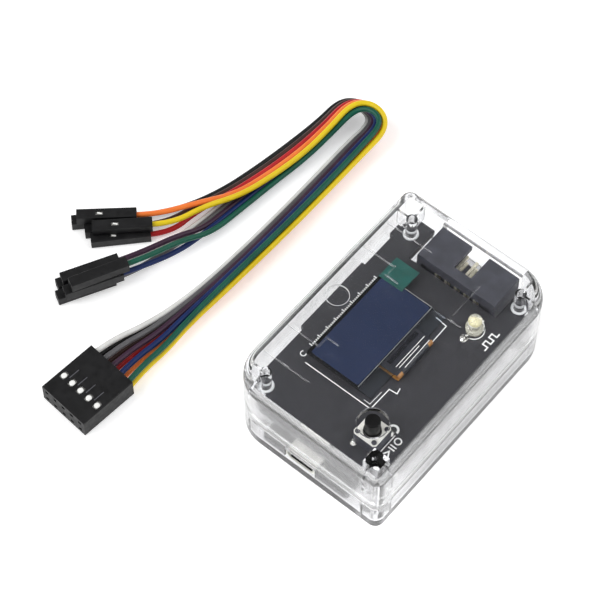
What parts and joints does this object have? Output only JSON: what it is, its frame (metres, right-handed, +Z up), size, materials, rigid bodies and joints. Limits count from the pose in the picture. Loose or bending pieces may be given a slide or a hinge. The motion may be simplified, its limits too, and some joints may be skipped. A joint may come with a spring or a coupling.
{
  "type": "logic analyzer",
  "caption": "Pocket logic analyzer in a clear plastic case with a small display, a start button, a state lamp, a probe socket, and a loose ribbon probe lead set lying beside it.",
  "frame": {"origin": "centre of the case's underside, on the bench", "axes": "+Z up, +X along the case's long side towards the probe socket, +Y across the case towards the lead set"},
  "size_m": [0.1029, 0.0991, 0.021],
  "materials": {
    "clear_case": "clear moulded",
    "panel_laminate": "satin solder mask",
    "main_laminate": "satin solder mask",
    "black_nylon": "moulded",
    "gold_pins": "gold plated",
    "foam_tape": "foam",
    "display_glass": "clear",
    "display_film": "gloss",
    "silicon": "gloss",
    "amber_flex": "satin",
    "teal_film": "gloss",
    "bright_steel": "plated",
    "tinned_metal": "tinned",
    "clear_lens": "clear",
    "chip_epoxy": "moulded",
    "resistor_body": "satin",
    "capacitor_body": "satin",
    "black_plunger": "moulded",
    "housing_plastic": "moulded",
    "wire_white": "satin sleeve",
    "wire_grey": "satin sleeve",
    "wire_purple": "satin sleeve",
    "wire_blue": "satin sleeve",
    "wire_green": "satin sleeve",
    "wire_black": "satin sleeve",
    "wire_brown": "satin sleeve",
    "wire_red": "satin sleeve",
    "wire_orange": "satin sleeve",
    "wire_yellow": "satin sleeve"
  },
  "bodies": {
    "case": {"top_shell": "clear_case", "bottom_shell": "clear_case", "panel_board": "panel_laminate", "main_board": "main_laminate", "link_socket": "black_nylon", "link_pin_strip": "black_nylon", "link_pins": "gold_pins", "display_tape": "foam_tape", "display_substrate": "display_glass", "display_cover_glass": "display_glass", "display_polarizer": "display_film", "display_driver_chip": "silicon", "display_flex": "amber_flex", "display_pull_tab": "teal_film", "header_shroud": "black_nylon", "header_pins": "gold_pins", "button_base": "black_nylon", "button_cover": "bright_steel", "button_dome": "bright_steel", "button_terminals": "tinned_metal", "led_lens": "clear_lens", "led_leads": "tinned_metal", "usb_shell": "bright_steel", "usb_tongue": "black_nylon", "usb_contacts": "gold_pins", "microcontroller": "chip_epoxy", "microcontroller_pins": "tinned_metal", "input_buffers": "chip_epoxy", "input_buffer_pins": "tinned_metal", "memory_chip": "chip_epoxy", "voltage_regulator": "chip_epoxy", "crystal_oscillator": "bright_steel", "resistors": "resistor_body", "capacitors": "capacitor_body", "lamp_resistor": "resistor_body"},
    "button": {"button_plunger": "black_plunger"},
    "lead_set": {"lead_housing": "housing_plastic", "lead_housing_contacts": "tinned_metal", "probe_contacts": "tinned_metal", "wire_white": "wire_white", "probe_socket_white": "housing_plastic", "wire_grey": "wire_grey", "probe_socket_grey": "housing_plastic", "wire_purple": "wire_purple", "probe_socket_purple": "housing_plastic", "wire_blue": "wire_blue", "probe_socket_blue": "housing_plastic", "wire_green": "wire_green", "probe_socket_green": "housing_plastic", "wire_black": "wire_black", "probe_socket_black": "housing_plastic", "wire_brown": "wire_brown", "probe_socket_brown": "housing_plastic", "wire_red": "wire_red", "probe_socket_red": "housing_plastic", "wire_orange": "wire_orange", "probe_socket_orange": "housing_plastic", "wire_yellow": "wire_yellow", "probe_socket_yellow": "housing_plastic"}
  },
  "joints": [
    {"name": "start_button_press", "type": "slide", "parent": "case", "child": "button", "axis": [0, 0, -1], "range_m": [0, 0.00025], "stiffness_N_per_m": 400, "springref_m": -0.001, "deforming": ["button_dome"]},
    {"name": "lead_set_lift", "type": "slide", "parent": "case", "child": "lead_set", "axis": [0, 0, 1], "range_m": [0, 0.02]}
  ]
}
